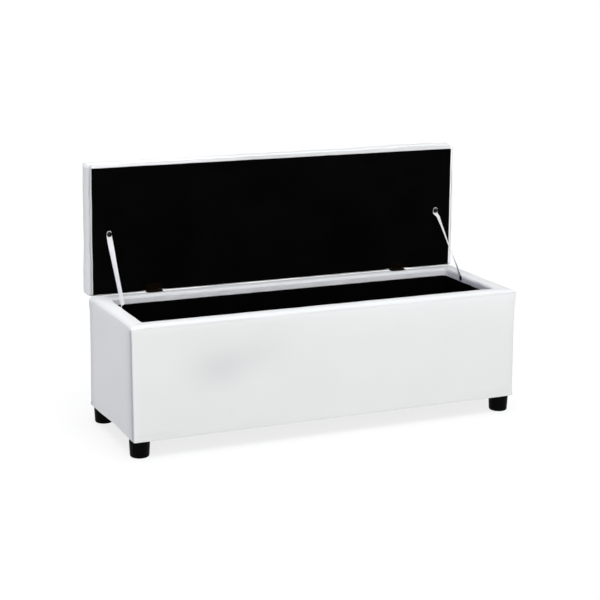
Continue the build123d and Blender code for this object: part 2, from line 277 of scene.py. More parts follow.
def mix_colours(tree, share, first, second):
    """Two colours mixed by a share."""
    node = add_node(tree, "ShaderNodeMix", data_type="RGBA")
    for socket, value in ((0, share), (6, first), (7, second)):
        if isinstance(value, bpy.types.NodeSocket):
            tree.links.new(value, node.inputs[socket])
        else:
            node.inputs[socket].default_value = value
    return node.outputs[2]


def bump(tree, height, distance, strength=1.0, under=None):
    """A bump of a height field, on top of another bump if one is given."""
    inputs = {"Height": height, "Distance": distance, "Strength": strength}
    if under is not None:
        inputs["Normal"] = under
    return add_node(tree, "ShaderNodeBump", inputs).outputs["Normal"]


def grey(value):
    """A neutral colour."""
    return (value, value, value, 1.0)


def white_leather():
    """Smooth white coated fabric: pebbled grain, fine pores, and soft waves under it. Two point
    attributes mix in painted light and painted shade.
    """
    material, tree, shader, place = start_material(
        "white_leather", Roughness=0.48, Specular_IOR_Level=0.42
    )
    tone = remap(tree, noise_field(tree, place, 3.0), 0.35, 0.65)
    colour = mix_colours(tree, tone, (0.722, 0.734, 0.718, 1), (0.747, 0.757, 0.741, 1))
    # Painted light: a point attribute mixes the colour towards near white.
    painted_light = add_node(tree, "ShaderNodeAttribute", attribute_name="painted_light").outputs["Fac"]
    colour = mix_colours(tree, painted_light, colour, (0.93, 0.935, 0.935, 1))
    # Painted shade: a point attribute mixes the colour towards grey.
    painted_shade = add_node(tree, "ShaderNodeAttribute", attribute_name="painted_shade").outputs["Fac"]
    colour = mix_colours(tree, painted_shade, colour, (0.37, 0.37, 0.39, 1))
    pebbles = add_node(
        tree,
        "ShaderNodeTexVoronoi",
        {"Vector": place, "Scale": 620.0, "Smoothness": 0.6},
        feature="SMOOTH_F1",
    ).outputs["Distance"]
    pores = noise_field(tree, place, 2400.0, 3.0)
    waves = noise_field(tree, place, 6.0, 1.0)
    roughness = remap(tree, pores, 0.3, 0.7, 0.43, 0.54)
    normal = bump(tree, waves, 2.2 * MM, 0.5)
    normal = bump(tree, pebbles, 0.12 * MM, 0.55, normal)
    normal = bump(tree, pores, 0.03 * MM, 0.5, normal)
    connect(tree, shader, Base_Color=colour, Roughness=roughness, Normal=normal)
    return material


def woven(name, dark, light, threads_per_metre, across, along, roughness, fuzz, relief):
    """A plain weave of threads across two axes of the piece, between two tones: painted shade where
    the threads lie low, and random patches.
    """
    material, tree, shader, place = start_material(
        name, Roughness=roughness, Specular_IOR_Level=0.015, Sheen_Weight=fuzz, Sheen_Roughness=0.6
    )
    axes = add_node(tree, "ShaderNodeSeparateXYZ", {"Vector": place}).outputs
    turn = 2 * math.pi * threads_per_metre
    waves = []
    for axis in (across, along):
        angle = arithmetic(tree, "MULTIPLY", axes[axis], turn)
        waves.append(arithmetic(tree, "SINE", angle, 0.0))
    weave = arithmetic(tree, "MULTIPLY", waves[0], waves[1])
    fibres = noise_field(tree, place, threads_per_metre * 1.7, 4.0, 0.7)
    patches = noise_field(tree, place, 9.0, 3.0)
    height = arithmetic(tree, "ADD", weave, arithmetic(tree, "MULTIPLY", fibres, 0.9))
    # Painted shade: the threads' tone follows their height, darker where they lie low.
    thread_tone = remap(tree, height, -0.4, 1.6, 0.0, 0.6)
    tone = arithmetic(tree, "ADD", thread_tone, remap(tree, patches, 0.3, 0.7, 0.0, 0.4))
    colour = mix_colours(tree, tone, dark, light)
    connect(tree, shader, Base_Color=colour, Normal=bump(tree, height, relief, 0.6))
    return material


def webbing():
    """White polyester webbing: ribs along the strap and fine picks across it."""
    material, tree, shader, _ = start_material(
        "white_webbing", Roughness=0.6, Specular_IOR_Level=0.35, Sheen_Weight=0.15
    )
    flat = tree.nodes.new("ShaderNodeUVMap").outputs["UV"]
    axes = add_node(tree, "ShaderNodeSeparateXYZ", {"Vector": flat}).outputs
    rib = arithmetic(tree, "SINE", arithmetic(tree, "MULTIPLY", axes[0], 2 * math.pi * 8), 0.0)
    half = arithmetic(tree, "MULTIPLY", arithmetic(tree, "SIGN", rib, 0.0), math.pi / 2)
    pick_angle = arithmetic(tree, "MULTIPLY", axes[1], 2 * math.pi * 640)
    pick = arithmetic(tree, "SINE", arithmetic(tree, "ADD", pick_angle, half), 0.0)
    ribs = arithmetic(tree, "ABSOLUTE", rib, 0.0)
    height = arithmetic(tree, "ADD", ribs, arithmetic(tree, "MULTIPLY", pick, 0.45))
    # Painted shade: the colour is darker where the ribs and picks lie low.
    tone = remap(tree, height, -0.3, 1.3)
    colour = mix_colours(tree, tone, (0.56, 0.56, 0.57, 1), (0.88, 0.88, 0.89, 1))
    connect(tree, shader, Base_Color=colour, Normal=bump(tree, height, 0.25 * MM, 0.8))
    return material


def metal(name, dark, light, roughness, patch_scale, scratch_scale):
    """Plated steel: stained patches, fine scratches and a rougher film."""
    material, tree, shader, place = start_material(name, Metallic=1.0)
    patches = noise_field(tree, place, patch_scale, 5.0, 0.65)
    scratches = noise_field(tree, stretched(tree, place, (1.0, 6.0, 1.0)), scratch_scale, 2.0)
    tone = remap(tree, patches, 0.3, 0.7)
    colour = mix_colours(tree, tone, dark, light)
    film = remap(tree, scratches, 0.3, 0.7, roughness - 0.08, roughness + 0.12)
    normal = bump(tree, scratches, 0.02 * MM, 0.5)
    connect(tree, shader, Base_Color=colour, Roughness=film, Normal=normal)
    return material


def black_plastic():
    """Moulded black plastic: a fine etched texture and a faint sheen."""
    material, tree, shader, place = start_material(
        "black_plastic", Roughness=0.42, Specular_IOR_Level=0.03
    )
    etched = noise_field(tree, place, 1500.0, 3.0, 0.6)
    patches = noise_field(tree, place, 40.0, 3.0)
    colour = mix_colours(tree, patches, grey(0.0004), grey(0.0014))
    roughness = remap(tree, etched, 0.3, 0.7, 0.36, 0.52)
    normal = bump(tree, etched, 0.05 * MM, 0.4)
    connect(tree, shader, Base_Color=colour, Roughness=roughness, Normal=normal)
    return material


def wood(name, dark, light, plies):
    """Wood: long grain along the piece, and plies across its thickness where there are any."""
    material, tree, shader, place = start_material(name, Roughness=0.7, Specular_IOR_Level=0.25)
    grain_place = stretched(tree, place, (3.0, 60.0, 60.0))
    grain = noise_field(tree, grain_place, 2.5, 6.0, 0.7)
    tone = remap(tree, grain, 0.3, 0.72)
    if plies:
        axes = add_node(tree, "ShaderNodeSeparateXYZ", {"Vector": place}).outputs
        layer = arithmetic(tree, "MULTIPLY", axes["Z"], 2 * math.pi / (3 * MM))
        layer = arithmetic(tree, "SINE", layer, 0.0)
        tone = arithmetic(tree, "ADD", tone, arithmetic(tree, "MULTIPLY", layer, 0.12))
    colour = mix_colours(tree, tone, dark, light)
    connect(tree, shader, Base_Color=colour, Normal=bump(tree, grain, 0.2 * MM, 0.5))
    return material


def foam():
    """Upholstery foam: open cells."""
    material, tree, shader, place = start_material("foam", Roughness=0.9)
    cells = add_node(
        tree, "ShaderNodeTexVoronoi", {"Vector": place, "Scale": 900.0}
    ).outputs["Distance"]
    # Painted shade: the colour is darker in the cells' hollows.
    colour = mix_colours(tree, cells, (0.42, 0.36, 0.22, 1), (0.78, 0.72, 0.55, 1))
    connect(tree, shader, Base_Color=colour, Normal=bump(tree, cells, 0.4 * MM, 0.8))
    return material


def pale_floor():
    """A plain matt studio floor that glows a little, like a light table."""
    material, tree, shader, place = start_material(
        "pale_floor", Roughness=0.9, Specular_IOR_Level=0.05, Emission_Strength=0.8
    )
    shader.inputs["Emission Color"].default_value = grey(1.0)
    tone = noise_field(tree, place, 0.8, 2.0)
    colour = mix_colours(tree, tone, grey(0.15), grey(0.16))
    connect(tree, shader, Base_Color=colour)
    return material


def make_finishes():
    """One material for each of the record's slots."""
    black = grey(0.0004)
    soft_black = (0.0026, 0.0025, 0.0026, 1)
    return {
        "white_upholstery": white_leather(),
        "black_lining": woven("black_lining", black, soft_black, 900, 0, 2, 0.82, 0.0, 0.1 * MM),
        "dust_cloth": woven(
            "dust_cloth", grey(0.004), grey(0.016), 700, 0, 1, 0.9, 0.05, 0.12 * MM
        ),
        "foam": foam(),
        "plywood": wood("plywood", (0.34, 0.20, 0.10, 1), (0.66, 0.47, 0.29, 1), True),
        "pine": wood("pine", (0.50, 0.31, 0.15, 1), (0.76, 0.57, 0.35, 1), False),
        "black_plastic": black_plastic(),
        "zinc_steel": metal("zinc_steel", grey(0.42), grey(0.68), 0.38, 90.0, 700.0),
        "bronze_steel": metal(
            "bronze_steel", (0.002, 0.0012, 0.0006, 1), (0.017, 0.010, 0.005, 1), 0.5, 160.0, 900.0
        ),
        "white_webbing": webbing(),
    }


# ---- body upholstery ----
def spread(start, end, step):
    """Even points from start to end, without the start, at most about a step apart."""
    count = max(1, round(np.linalg.norm(end - start) / step))
    return [start + (end - start) * k / count for k in range(1, count + 1)]


def rounded_path(corners, radii, step):
    """Points along a path whose corners are rounded, at most about a step apart."""
    arc_step = 1.6 * MM
    path = [np.array(corners[0])]
    for i in range(1, len(corners) - 1):
        before, corner, after = (np.array(corners[k]) for k in (i - 1, i, i + 1))
        back = (before - corner) / np.linalg.norm(before - corner)
        on = (after - corner) / np.linalg.norm(after - corner)
        angle = math.acos(np.clip(back @ on, -1, 1))
        reach = radii[i] / math.tan(angle / 2)
        start, end = corner + back * reach, corner + on * reach
        path += spread(path[-1], start, step)[:-1]
        centre = corner + (back + on) / np.linalg.norm(back + on) * radii[i] / math.sin(angle / 2)
        turns = max(2, round(radii[i] / arc_step))
        for k in range(turns + 1):
            away = start + (end - start) * k / turns - centre
            path.append(centre + away / np.linalg.norm(away) * radii[i])
    return np.array(path + spread(path[-1], np.array(corners[-1]), step))


def body_profile():
    """The cover's section: (inset from the outer face, height), from the underside up and over."""
    bottom, top = body_low.z, body_high.z
    band = top - inner_band
    fold = cloth_t / 2
    corners = [
        (under_wrap - hem, bottom + cloth_t),
        (under_wrap, bottom + cloth_t),
        (under_wrap, bottom),
        (0.0, bottom),
        (0.0, top),
        (rim_width, top),
        (rim_width, band),
        (rim_width - cloth_t, band),
        (rim_width - cloth_t, band + hem),
    ]
    radii = [0, fold * 0.8, fold * 0.8, bottom_edge_r, rim_outer_r, rim_inner_r, fold * 0.8]
    radii += [fold * 0.8, 0]
    return rounded_path(corners, radii, 8 * MM)


def plan_ring(inset, corner_r):
    """One ring of points round the body in plan, at an inset from the outer faces."""
    step = 11 * MM
    fine = [0, 1.5 * MM, 3 * MM, 4.5 * MM, 6 * MM, 9 * MM, 14 * MM, 21 * MM, 30 * MM]
    corner_points = 4
    half = (body_high.x - inset, body_half_y - inset)
    outer = (body_high.x - body_corner_r, body_half_y - body_corner_r)
    ring = []
    for turn, (cos, sin) in enumerate([(1, 0), (0, 1), (-1, 0), (0, -1)]):
        across = half[turn % 2]
        along = half[1 - turn % 2] - corner_r
        full = 2 * outer[1 - turn % 2]
        for share in graded(full, step, fine) / full:
            forward = (2 * share - 1) * along
            ring.append((cos * across - sin * forward, sin * across + cos * forward))
        for k in range(1, corner_points + 1):
            angle = k / (corner_points + 1) * math.pi / 2
            out = across - corner_r + corner_r * math.cos(angle)
            forward = along + corner_r * math.sin(angle)
            ring.append((cos * out - sin * forward, sin * out + cos * forward))
    return np.array(ring) + (0, body_middle_y)


def front_hollow(x, z):
    """The shallow hollow in the front panel, left of its middle, with a weaker one beside it."""
    hollow = 0
    for middle_x, middle_z, narrowing, width, depth in [
        (-338 * MM, 232 * MM, 1.35, 70 * MM, 1.0),
        (-225 * MM, 265 * MM, 1.3, 55 * MM, 0.4),
    ]:
        distance = np.hypot((x - middle_x) * 0.8, (z - middle_z) * narrowing)
        hollow = hollow + depth * hump(distance, width)
    return hollow


def body_zones(points):
    """Each point's place on the body cover, and its share from 0 to 1 in each of its parts."""
    x, y, z = points.T
    side_x, top = np.abs(x), body_high.z
    end_gap, side_gap = body_high.x - side_x, body_half_y - np.abs(y - body_middle_y)
    inset = np.minimum(end_gap, side_gap)
    on_rim = ramp(z, top - 3 * MM, top - 1 * MM) * ramp(inset, 3 * MM, 9 * MM)
    on_ends = ramp(side_x, body_high.x - 4 * MM, body_high.x - 1 * MM)
    seamed = on_ends * (1 - ramp(z, top - 14 * MM, top - 6 * MM))
    from_seam = np.abs(side_gap - body_corner_r - seam_from_corner)
    from_mitre = np.abs(end_gap - side_gap) / math.sqrt(2)
    return SimpleNamespace(
        points=points, x=x, y=y, z=z, side_x=side_x, inset=inset, on_ends=on_ends, on_rim=on_rim,
        from_corner=np.hypot(np.maximum(end_gap, 0), np.maximum(side_gap, 0)),
        on_walls=ramp(-inset, -3 * MM, 0.0),
        on_front=ramp(-y, -body_low.y - 4 * MM, -body_low.y - 1 * MM),
        in_band=ramp(inset, rim_width - 4 * MM, rim_width - 1 * MM),
        low_down=1 - ramp(z, body_low.z, top - 60 * MM),
        hollow=front_hollow(x, z),
        groove=seamed * hump(from_seam, 1.3 * MM),
        puckers=seamed * hump(from_seam, 7 * MM),
        seam_strip=seamed * hump(from_seam, 30 * MM),
        mitre=on_rim * hump(from_mitre, 1.3 * MM),
    )


def body_relief(at):
    """How far the cover stands out along its normals: the unevenness of thin padding, the rim's
    crown, the front's hollow, the puckered corner seams and the rim's mitres."""
    above_hem = ramp(at.z, body_low.z + 10 * MM, body_low.z + 30 * MM)
    relief = 0
    for zone, height, wavelength, seed in [
        (at.on_walls * above_hem, 0.55 * MM, 260 * MM, 3),
        (at.on_walls, 0.12 * MM, 70 * MM, 4),
        (at.in_band, 0.35 * MM, 45 * MM, 5),
        (at.on_rim, 0.25 * MM, 90 * MM, 6),
    ]:
        relief = relief + zone * height * ripples(at.points, wavelength, seed)
    crown = 1 - ((at.inset - rim_width / 2) / (rim_width / 2)) ** 2
    leaf = hump(at.side_x - hinge_x, 30 * MM) * ramp(at.y, leaf_low.y - 6 * MM, leaf_low.y)
    relief += at.on_rim * np.clip(crown, 0, 1) * rim_crown * (1 - leaf)
    relief -= at.on_front * at.hollow * hollow_depth
    relief -= at.groove * seam_depth
    relief += at.puckers * pucker_height * np.sin(at.z * 2 * math.pi / pucker_spacing)
    return relief - at.mitre * mitre_depth


def shift_body_outline(points, at):
    """Moves the cover's corners and ends to the photograph's outline, which isn't a plain box."""
    top, bottom, to_right = body_high.z, body_low.z, at.x > 0
    flare = np.where(to_right & (at.y < body_middle_y), 2.5 * MM, 1.5 * MM)
    flare *= hump(at.from_corner, 32 * MM) * ramp(at.z, top - 55 * MM, top - 12 * MM)
    low_swell = at.on_ends * at.low_down * np.where(to_right, 1.6 * MM, 0.8 * MM)
    near_end = ramp(at.side_x, body_high.x - rim_width + 2 * MM, body_high.x - 2 * MM)
    left_swell = 2.6 * MM * ramp(at.y, -80 * MM, 100 * MM)
    end_swell = near_end * np.where(to_right, 2.5 * MM, left_swell)
    points[:, 0] += np.sign(at.x) * (flare + low_swell + end_swell)
    points[:, 1] += np.sign(at.y - body_middle_y) * flare * 0.5
    at_left = ~to_right * ramp(at.side_x, 500 * MM, 590 * MM)
    points[:, 0] += at_left * hump(at.y - body_low.y, 300 * MM) * at.low_down * 3.5 * MM
    arch = ~to_right * near_end * hump(at.y + 35 * MM, 90 * MM)
    points[:, 2] += arch * (1 - ramp(at.z, bottom, bottom + 60 * MM)) * 3.2 * MM


def rim_shade(at):
    """Painted shade on the front, rear and right rim: the photograph's grey there, which the lights
    don't give.
    """
    top, from_left = body_high.z, at.x + body_high.x
    front_edge, rear_edge = body_low.y + rim_width, body_high.y - rim_width
    front = ramp(at.z, top - 12 * MM, top - 6 * MM)
    front *= ramp(front_edge - at.y, 0, 10 * MM) * ramp(from_left, 12 * MM, rim_width)
    front *= 0.13 + 0.15 * ramp(body_low.y - at.y, -12 * MM, -4 * MM)
    near_top = ramp(at.z, top - 11 * MM, top - 5 * MM) * ramp(at.inset, 2 * MM, 8 * MM)
    rear = near_top * ramp(at.y, rear_edge - 3 * MM, rear_edge)
    rear *= ramp(from_left, 30 * MM, rim_width + 10 * MM)
    rear *= 0.34 + 0.4 * ramp(at.y, rear_edge, body_high.y - 8 * MM)
    right = near_top * ramp(at.x, body_high.x - 65 * MM, body_high.x - rim_width)
    right *= 0.18 + 0.22 * ramp(at.y, -40 * MM, 50 * MM)
    rightwards = at.on_rim * 0.18 * ramp(at.x, -100 * MM, 450 * MM)
    return np.maximum.reduce([front, rear, right, rightwards])


def body_details(mesh):
    """Gives the cover its relief, its outline, and its painted shade and painted light. The shares
    of painted shade outside seams, puckers and mitres are fitted to the photograph's tones."""
    points = get_points(mesh)
    at = body_zones(points)
    points = points + get_normals(mesh) * body_relief(at)[:, None]
    shift_body_outline(points, at)
    set_points(mesh, points)

    top = body_high.z
    # Painted shade: the rim's grey, and darker in the corner seams' groove and puckers, on a strip
    # beside them, in the rim's mitres, in the front's hollows, low on the front panel and low on
    # the left end.
    shade = rim_shade(at)
    for zone, share in [
        (at.groove, 0.8),
        (at.puckers, 0.55),
        (at.seam_strip, 0.3),
        (at.mitre, 0.25),
        (at.on_front * at.hollow, 0.24),
        (at.on_front * (1 - ramp(at.z, 100 * MM, 260 * MM)), 0.06),
        (at.on_ends * at.low_down * (at.x < 0), 0.08),
    ]:
        shade += zone * share
    mark(mesh, "painted_shade", shade)
    # Painted light: lighter on the inner band below the rim's edge and on the upper right of the
    # front panel.
    upper_right = ramp(at.z, 240 * MM, top - 12 * MM) * ramp(at.x, -350 * MM, 100 * MM)
    below_edge = ramp(top - at.z, 1 * MM, 6 * MM)
    mark(mesh, "painted_light", at.in_band * below_edge + at.on_front * upper_right * 0.2)


def mark(mesh, name, values):
    """Stores a share from 0 to 1 at each point, which the leather's colour follows."""
    attribute = mesh.attributes.new(name, "FLOAT", "POINT")
    attribute.data.foreach_set("value", np.clip(values, 0, 1).astype(np.float32))


def make_body_upholstery(finish):
    """The cover and thin padding round the box, over its rim and under its bottom edge."""
    shrink = 1.5 * MM
    rows, held = [], []
    for inset, height in body_profile():
        share = np.clip(inset / rim_width, 0, 1)
        corner_r = body_corner_r + (opening_corner_r - body_corner_r) * share
        under = height < body_low.z + 8 * MM
        inside = inset > rim_width - 9 * MM
        shallow = 0 if under or inside else shrink
        ring = plan_ring(inset + shallow * (inset < rim_outer_r), corner_r)
        lower = shallow * (height > body_high.z - rim_outer_r)
        rows.append(np.column_stack([ring, np.full(len(ring), height - lower)]))
        held.append(np.full(len(ring), under or inside))
    columns = len(rows[0])
    faces = grid_faces(len(rows), columns, closed=True)
    piece = make_mesh("body_upholstery", np.vstack(rows), faces, finish)
    inflate(piece, np.concatenate(held), cap=2.2 * MM)
    subdivide(piece)
    body_details(piece.data)
    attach(piece, "box")
    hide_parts("body_cover", "front_foam", "rear_foam", "left_foam", "right_foam")


# ---- panels on a lattice, for the lid cushion and the linings ----
def lattice_shell(xs, ys, zs):
    """The points and quads of a box's surface, divided at these stations."""
    counts = (len(xs), len(ys), len(zs))
    index, points, faces = {}, [], []

    def point(i, j, k):
        if (i, j, k) not in index:
            index[i, j, k] = len(points)
            points.append((xs[i], ys[j], zs[k]))
        return index[i, j, k]

    for axis in range(3):
        first, second = [a for a in range(3) if a != axis]
        for end in (0, counts[axis] - 1):
            for a in range(counts[first] - 1):
                for b in range(counts[second] - 1):
                    quad = []
                    for da, db in ((0, 0), (1, 0), (1, 1), (0, 1)):
                        spot = [0, 0, 0]
                        spot[axis], spot[first], spot[second] = end, a + da, b + db
                        quad.append(point(*spot))
                    outward = (end > 0) == (axis != 1)
                    faces.append(quad if outward else quad[::-1])
    return np.array(points), faces


def round_plan(u, v, half_u, half_v, radius):
    """Rounds a rectangle's corners in plan; also gives each point's outward direction."""
    du = np.maximum(np.abs(u) - (half_u - radius), 0)
    dv = np.maximum(np.abs(v) - (half_v - radius), 0)
    length = np.maximum(np.hypot(du, dv), 1e-12)
    scale = np.maximum(du, dv) / length
    corner = (du > 0) & (dv > 0)
    new_u = np.where(corner, np.sign(u) * (half_u - radius + du * scale), u)
    new_v = np.where(corner, np.sign(v) * (half_v - radius + dv * scale), v)
    edge_u, edge_v = half_u - np.abs(u), half_v - np.abs(v)
    out_u = np.where(corner, du / length, (edge_u < edge_v) * 1.0) * np.sign(u)
    out_v = np.where(corner, dv / length, (edge_u >= edge_v) * 1.0) * np.sign(v)
    inset = np.where(corner, radius - np.maximum(du, dv), np.minimum(edge_u, edge_v))
    return new_u, new_v, out_u, out_v, inset


def round_edge(inset, height, radius):
    """Rounds the edge between a side (inset 0) and a face (height 0, measured inwards)."""
    on_side = inset < 1e-7
    angle = np.where(
        on_side,
        np.arctan2(np.maximum(radius - height, 0), radius),
        np.arctan2(radius, np.maximum(radius - inset, 0)),
    )
    near = (on_side & (height < radius)) | (~on_side & (height < 1e-7) & (inset < radius))
    new_inset = np.where(near, radius - radius * np.cos(angle), inset)
    new_height = np.where(near, radius - radius * np.sin(angle), height)
    return new_inset, new_height


def lid_shape():
    """The lid cushion before it swells: a slab with a flat underside and soft seat edges."""
    shrink = 2.5 * MM
    half_x = lid_high.x - 1 * MM
    half_z = lid_half_z - 0.5 * MM
    thick = lid_high.y - lid_low.y - shrink
    edge = [0, 1.5 * MM, 3 * MM, 5 * MM, 8 * MM, 11 * MM, 14 * MM, 20 * MM, 28 * MM]
    xs = graded(2 * half_x, 10 * MM, edge) - half_x
    zs = graded(2 * half_z, 10 * MM, edge) - half_z
    ys = graded(thick, 6 * MM, [0, 1.5 * MM, 3 * MM, 7 * MM])
    points, faces = lattice_shell(xs, ys, zs)
    x, y, z = points.T
    x, z, out_x, out_z, inset = round_plan(x, z, half_x, half_z, lid_plan_r)
    soft_inset, from_seat = round_edge(inset, thick - y, lid_seat_r)
    firm_inset, from_under = round_edge(inset, y, lid_under_r)
    upper = y > thick / 2
    new_inset = np.where(upper, soft_inset, firm_inset)
    x = x - out_x * (new_inset - inset)
    z = z - out_z * (new_inset - inset)
    y = np.where(upper, thick - from_seat, from_under)
    return np.column_stack([x, y + lid_low.y, z + lid_middle_z]), faces


def lid_zones(points):
    """Each point's place on the lid cushion, and its share from 0 to 1 in each of its parts."""
    x, y, z = points.T
    end_gap, side_gap = lid_high.x - np.abs(x), lid_half_z - np.abs(z - lid_middle_z)
    depth = y - lid_low.y
    inset = np.minimum(end_gap, side_gap)
    from_corner = np.hypot(end_gap, side_gap)
    fold = hump((end_gap - side_gap) / math.sqrt(2), 1.6 * MM) * hump(from_corner, 22 * MM)
    fold *= ramp(depth, 3 * MM, 8 * MM) * (1 - ramp(depth, 30 * MM, 44 * MM))
    return SimpleNamespace(
        points=points, x=x, z=z, depth=depth, inset=inset, fold=fold, from_corner=from_corner,
        past_corner=side_gap - end_gap,
        on_side=ramp(-inset, -8 * MM, -1 * MM),
        on_seat=ramp(depth, 38 * MM, 46 * MM) * ramp(inset, 6 * MM, 20 * MM),
        under=ramp(-depth, -2 * MM, -0.5 * MM),
    )


def lid_relief(at):
    """How far the cover stands out along its normals: gathers near the staples, uneven padding."""
    gathered = at.on_side * (1 - ramp(at.depth, 4 * MM, 26 * MM))
    gathered *= ramp(at.depth, 1 * MM, 5 * MM)
    wander = 2.2 * ripples(at.points, 120 * MM, 11)
    gathers = np.sin((at.x + at.z) * 2 * math.pi / gather_spacing + wander)
    relief = gathered * gather_height * gathers
    border = ramp(at.inset, 1 * MM, 4 * MM) * (1 - ramp(at.inset, 5 * MM, 9 * MM))
    for zone, height, wavelength, seed in [
        (at.on_side, 0.7 * MM, 110 * MM, 12),
        (at.on_seat, 1.1 * MM, 240 * MM, 13),
        (at.on_seat, 0.2 * MM, 60 * MM, 14),
        (at.under * border, 0.25 * MM, 50 * MM, 15),
    ]:
        relief += zone * height * ripples(at.points, wavelength, seed)
    return relief


def lid_tucks(points, at):
    """The broken line of small tucks in the border that is folded onto the underside."""
    line = 5.5 * MM + 1.1 * MM * ripples(points, 50 * MM, 16)
    tucks = at.under * hump(at.inset - line, 1.2 * MM)
    tucks *= ramp(ripples(points, 160 * MM, 17), -1.4, 0.6)
    return tucks * ramp(at.past_corner, 0, 6 * MM)


def shift_lid_outline(points, at):
    """Moves the cushion's ends, corners and top to the photograph's outline."""
    low_down = ramp(-at.z, -lid_high.z, -lid_low.z)
    near_end = ramp(np.abs(at.x), lid_high.x - 30 * MM, lid_high.x)
    wider = 0.6 * MM + 1.6 * MM * low_down + 3.6 * MM * (at.x < 0)
    points[:, 0] += np.sign(at.x) * near_end * ramp(at.depth, 0, 20 * MM) * wider
    peak = hump(at.from_corner, 20 * MM) * ramp(at.depth, 22 * MM, 40 * MM)
    points[:, 2] += np.where(at.x > 0, 4 * MM, 1.5 * MM) * peak * (at.z > lid_middle_z)
    rise = ramp(at.x, 150 * MM, 450 * MM) * (1 - hump(at.from_corner, 50 * MM))
    points[:, 2] += 2.4 * MM * rise * ramp(at.z, lid_high.z - 10 * MM, lid_high.z - 1 * MM)


def lid_details(mesh):
    """Gives the cushion its relief, its tucked border, its outline, and its painted shade and
    painted light. The borders' shares of painted shade and light are fitted to the photograph's
    tones."""
    points = get_points(mesh)
    at = lid_zones(points)
    normals = get_normals(mesh)
    points = points + normals * lid_relief(at)[:, None]
    points[:, 1] += at.under * ramp(at.inset, 12 * MM, 16 * MM) * 0.5 * MM
    tucks = lid_tucks(points, at)
    points[:, 1] += tucks * tuck_depth
    points -= normals * (at.fold * lid_fold_depth)[:, None]
    shift_lid_outline(points, at)
    set_points(mesh, points)

    edge = lid_high.x - lid_border
    left_border = at.under * ramp(-at.x, edge - 1 * MM, edge)
    right_border = at.under * ramp(at.x, edge - 1 * MM, edge)
    low_edge = 1 - ramp(at.z, lid_low.z + 6 * MM, lid_low.z + 9 * MM)
    low_edge *= 1 - ramp(at.depth, 3 * MM, 6 * MM)
    # Painted shade: darker in the corner folds and the tucks, on the cushion's sides, on the left
    # border of the underside and along its low edge.
    shade = at.fold * 0.35 + tucks * 0.85 + at.on_side * 0.12
    shade += left_border * 0.38 + low_edge * 0.55
    mark(mesh, "painted_shade", shade)
    # Painted light: lighter along the top edge, most towards the left, and on the right border of
    # the underside.
    top_edge = ramp(at.z, lid_high.z - 14 * MM, lid_high.z - 10 * MM)
    top_edge *= 1 - ramp(at.depth, 20 * MM, 40 * MM)
    top_edge *= 1 - 0.85 * ramp(at.x, -330 * MM, -80 * MM)
    mark(mesh, "painted_light", top_edge + right_border)


def make_lid_upholstery(finish):
    """The padded seat: cover and foam over the lid board, turned round to its underside."""
    points, faces = lid_shape()
    piece = make_mesh("lid_upholstery", points, faces, finish)
    held = points[:, 1] < lid_low.y + 1.2 * MM
    seat = ramp(points[:, 1] - lid_low.y, 36 * MM, 46 * MM)
    inflate(piece, held, cap=1.2 * MM + 4.3 * MM * seat)
    subdivide(piece)
    lid_details(piece.data)
    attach(piece, "lid")
    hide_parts("lid_cover", "lid_foam")


# ---- linings ----
def panel_shape(low, high, axis, side, seed, wave, drop):
    """A stretched cloth in a lining's box. The face on one side waves a little between its held
    edges, the edges aren't quite straight, and drop lowers the bottom edge clear of the hinges."""
    size = high - low
    edge = [0, 0.4 * MM, 1.5 * MM, 6 * MM, 14 * MM]
    stations = [graded(size[i], 12 * MM, edge) + low[i] for i in range(3) if i != axis]
    stations.insert(axis, np.array([low[axis], high[axis]]))
    points, faces = lattice_shell(*stations)
    others = [i for i in range(3) if i != axis]
    edge_gaps = [np.minimum(points[:, i] - low[i], high[i] - points[:, i]) for i in others]
    inset = np.min(edge_gaps, axis=0)
    face = high[axis] if side > 0 else low[axis]
    on_face = np.abs(points[:, axis] - face) < 1e-6
    sunk = wave * np.clip(0.5 - 0.5 * ripples(points, 100 * MM, seed), 0, 1)
    sunk *= ramp(inset, 0.0, 30 * MM)
    sunk += 0.35 * size[axis] * (1 - ramp(inset, 0, 1.5 * MM))
    points[:, axis] -= side * on_face * sunk
    edge_wave = (1 - ramp(inset, 2 * MM, 30 * MM)) * 0.3 * MM
    for i, gap in zip(others, edge_gaps):
        outwards = np.sign(points[:, i] - (low[i] + high[i]) / 2) * (gap < 25 * MM)
        points[:, i] -= outwards * edge_wave * (1 + ripples(points, 60 * MM, seed + i))
    if drop:
        low_edge = 1 - ramp(points[:, 2] - low.z, 0, 25 * MM)
        clear = ramp(np.abs(np.abs(points[:, 0]) - hinge_x), 30 * MM, 45 * MM)
        points[:, 2] -= drop * low_edge * clear
    return points, faces


def make_cloth_panel(name, node, axis, side, body, finish, wave=0.3 * MM, drop=0):
    """A stretched cloth panel in a lining's place."""
    low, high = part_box(node)
    points, faces = panel_shape(low, high, axis, side, sum(map(ord, name)), wave, drop)
    piece = make_mesh(name, points, faces, finish)
    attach(piece, body)
    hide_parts(node)


def make_linings(finishes):
    """The black cloth inside the box and on the lid, and the dust cloth under the bottom."""
    lining, dust = finishes["black_lining"], finishes["dust_cloth"]
    for node, axis, side, board in [
        ("lining_floor", 2, 1, "floor_board"),
        ("lining_front", 1, 1, "front_board"),
        ("lining_rear", 1, -1, "rear_board"),
        ("lining_left", 0, 1, "left_board"),
        ("lining_right", 0, -1, "right_board"),
    ]:
        make_cloth_panel(f"cloth_{node}", node, axis, side, "box", lining)
    make_cloth_panel(
        "cloth_lid_lining", "lid_lining", 1, -1, "lid", lining,
        wave=0.5 * MM, drop=1.6 * MM,
    )
    make_cloth_panel(
        "cloth_dust_cover", "dust_cover", 2, -1, "box", dust
    )


